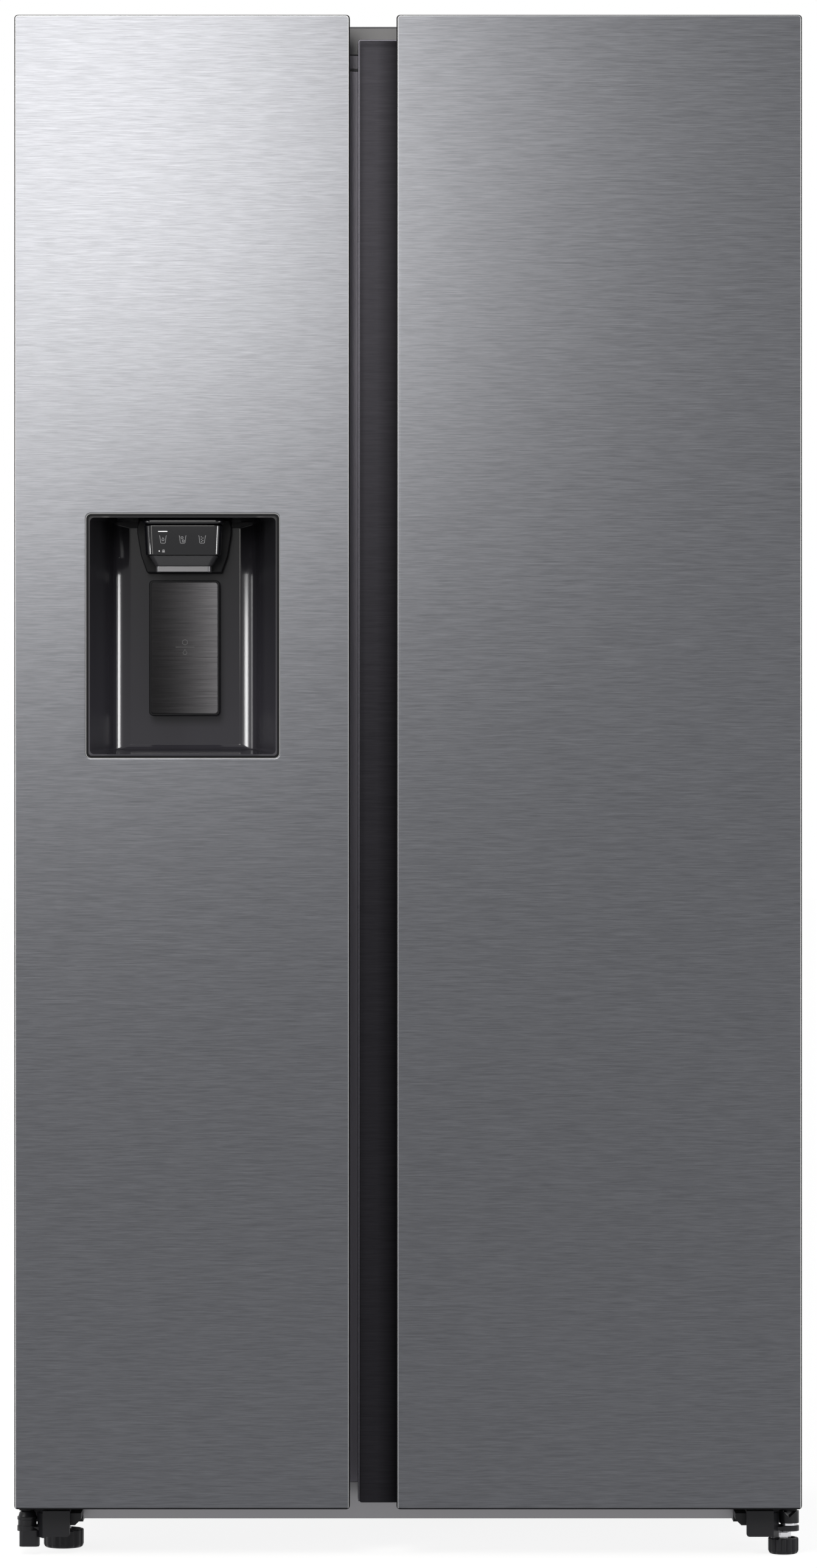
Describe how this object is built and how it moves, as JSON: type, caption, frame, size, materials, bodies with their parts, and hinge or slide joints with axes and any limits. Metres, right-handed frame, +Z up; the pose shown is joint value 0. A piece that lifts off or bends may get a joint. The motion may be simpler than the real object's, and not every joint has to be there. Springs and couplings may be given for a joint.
{
  "type": "side by side refrigerator",
  "caption": "Side by side refrigerator with full height freezer and fridge doors, an ice and water dispenser in the freezer door, pocket grips between the doors, and shelves, drawers and bins.",
  "frame": {"origin": "on the floor under the middle of the overall box", "axes": "+Z up, doors face -Y, +X is to the right of someone facing the doors"},
  "size_m": [0.912, 0.716, 1.788],
  "materials": {
    "brushed_steel": "satin",
    "dark_brushed_steel": "satin",
    "dark_brushed": "satin",
    "case_paint": "satin",
    "galvanised": "satin",
    "black_steel": "satin",
    "door_plastic": "satin",
    "gloss_black": "gloss",
    "black_plastic": "satin",
    "white_plastic": "satin",
    "clear_plastic": "gloss",
    "shelf_glass": "polished",
    "gasket_rubber": "matte",
    "aluminium": "satin",
    "foam": "matte"
  },
  "bodies": {
    "cabinet": {"case_wrap": "case_paint", "back_panel": "galvanised", "base_frame": "galvanised", "insulation_foam": "foam", "freezer_liner": "white_plastic", "fridge_liner": "white_plastic", "mullion_cover": "case_paint", "top_front_cover": "case_paint", "freezer_duct_cover": "white_plastic", "fridge_duct_cover": "white_plastic", "evaporator": "aluminium", "compressor": "black_steel", "condenser": "black_steel", "drain_pan": "black_plastic", "machine_cover": "galvanised", "lower_hinge_left": "black_steel", "lower_hinge_right": "black_steel", "upper_hinge_left": "galvanised", "upper_hinge_right": "galvanised", "freezer_shelf_1": "shelf_glass", "freezer_shelf_2": "shelf_glass", "freezer_shelf_3": "shelf_glass", "fridge_shelf_1": "shelf_glass", "fridge_shelf_2": "shelf_glass", "fridge_shelf_3": "shelf_glass", "fridge_shelf_4": "shelf_glass", "freezer_drawer_lower": "clear_plastic", "freezer_drawer_upper": "clear_plastic", "crisper_lower": "clear_plastic", "crisper_upper": "clear_plastic"},
    "freezer_door": {"freezer_door_skin": "brushed_steel", "freezer_door_body": "door_plastic", "freezer_door_liner": "white_plastic", "freezer_door_gasket": "gasket_rubber", "dispenser_recess": "gloss_black", "dispenser_hood": "gloss_black", "ice_maker_frame": "white_plastic", "ice_bucket": "clear_plastic", "freezer_bin_1": "clear_plastic", "freezer_bin_2": "clear_plastic", "freezer_bin_3": "clear_plastic"},
    "fridge_door": {"fridge_door_skin": "brushed_steel", "fridge_door_body": "door_plastic", "fridge_door_grip": "dark_brushed_steel", "fridge_door_liner": "white_plastic", "fridge_door_gasket": "gasket_rubber", "fridge_bin_1": "clear_plastic", "fridge_bin_2": "clear_plastic", "fridge_bin_3": "clear_plastic", "fridge_bin_4": "clear_plastic"},
    "paddle": {"dispenser_paddle": "dark_brushed"},
    "flap": {"ice_flap": "black_plastic"},
    "auger": {"ice_auger": "aluminium"},
    "tray": {"ice_tray": "white_plastic"},
    "evaporator_fan": {"evaporator_fan": "black_plastic"},
    "condenser_fan": {"condenser_fan": "black_plastic"},
    "foot_left": {"leveling_foot_left": "black_plastic"},
    "foot_right": {"leveling_foot_right": "black_plastic"},
    "roller_left": {"rear_roller_left": "black_plastic"},
    "roller_right": {"rear_roller_right": "black_plastic"}
  },
  "joints": [
    {"name": "freezer_door_swing", "type": "hinge", "parent": "cabinet", "child": "freezer_door", "pos_m": [-0.444, -0.302, 0.9], "axis": [0, 0, -1], "range_deg": [0, 130]},
    {"name": "fridge_door_swing", "type": "hinge", "parent": "cabinet", "child": "fridge_door", "pos_m": [0.444, -0.302, 0.9], "axis": [0, 0, 1], "range_deg": [0, 130]},
    {"name": "paddle_press", "type": "hinge", "parent": "freezer_door", "child": "paddle", "pos_m": [-0.2608, -0.293, 1.129], "axis": [1, 0, 0], "range_deg": [0, 5], "stiffness_Nm_per_rad": 0.12, "springref_deg": -17.19},
    {"name": "ice_flap_swing", "type": "hinge", "parent": "freezer_door", "child": "flap", "pos_m": [-0.2608, -0.2975, 1.197], "axis": [1, 0, 0], "range_deg": [0, 75]},
    {"name": "ice_tray_turn", "type": "hinge", "parent": "freezer_door", "child": "tray", "pos_m": [-0.2395, -0.227, 1.57], "axis": [1, 0, 0], "range_deg": [0, 150]},
    {"name": "ice_auger_turn", "type": "hinge", "parent": "freezer_door", "child": "auger", "pos_m": [-0.2608, -0.225, 1.335], "axis": [1, 0, 0], "continuous": true},
    {"name": "evaporator_fan_spin", "type": "hinge", "parent": "cabinet", "child": "evaporator_fan", "pos_m": [-0.2515, 0.266, 0.598], "axis": [0, 1, 0], "continuous": true},
    {"name": "condenser_fan_spin", "type": "hinge", "parent": "cabinet", "child": "condenser_fan", "pos_m": [-0.095, 0.24, 0.137], "axis": [1, 0, 0], "continuous": true},
    {"name": "leveling_foot_left_turn", "type": "hinge", "parent": "cabinet", "child": "foot_left", "pos_m": [-0.4057, -0.228, 0.015], "axis": [0, 0, 1], "continuous": true},
    {"name": "leveling_foot_right_turn", "type": "hinge", "parent": "cabinet", "child": "foot_right", "pos_m": [0.4382, -0.29, 0.015], "axis": [0, 0, 1], "continuous": true},
    {"name": "rear_roller_left_roll", "type": "hinge", "parent": "cabinet", "child": "roller_left", "pos_m": [-0.405, 0.315, 0.02], "axis": [1, 0, 0], "continuous": true},
    {"name": "rear_roller_right_roll", "type": "hinge", "parent": "cabinet", "child": "roller_right", "pos_m": [0.405, 0.315, 0.02], "axis": [1, 0, 0], "continuous": true}
  ],
  "couplings": [
    {"joint": "ice_flap_swing", "follows": "paddle_press", "ratio": 15}
  ]
}
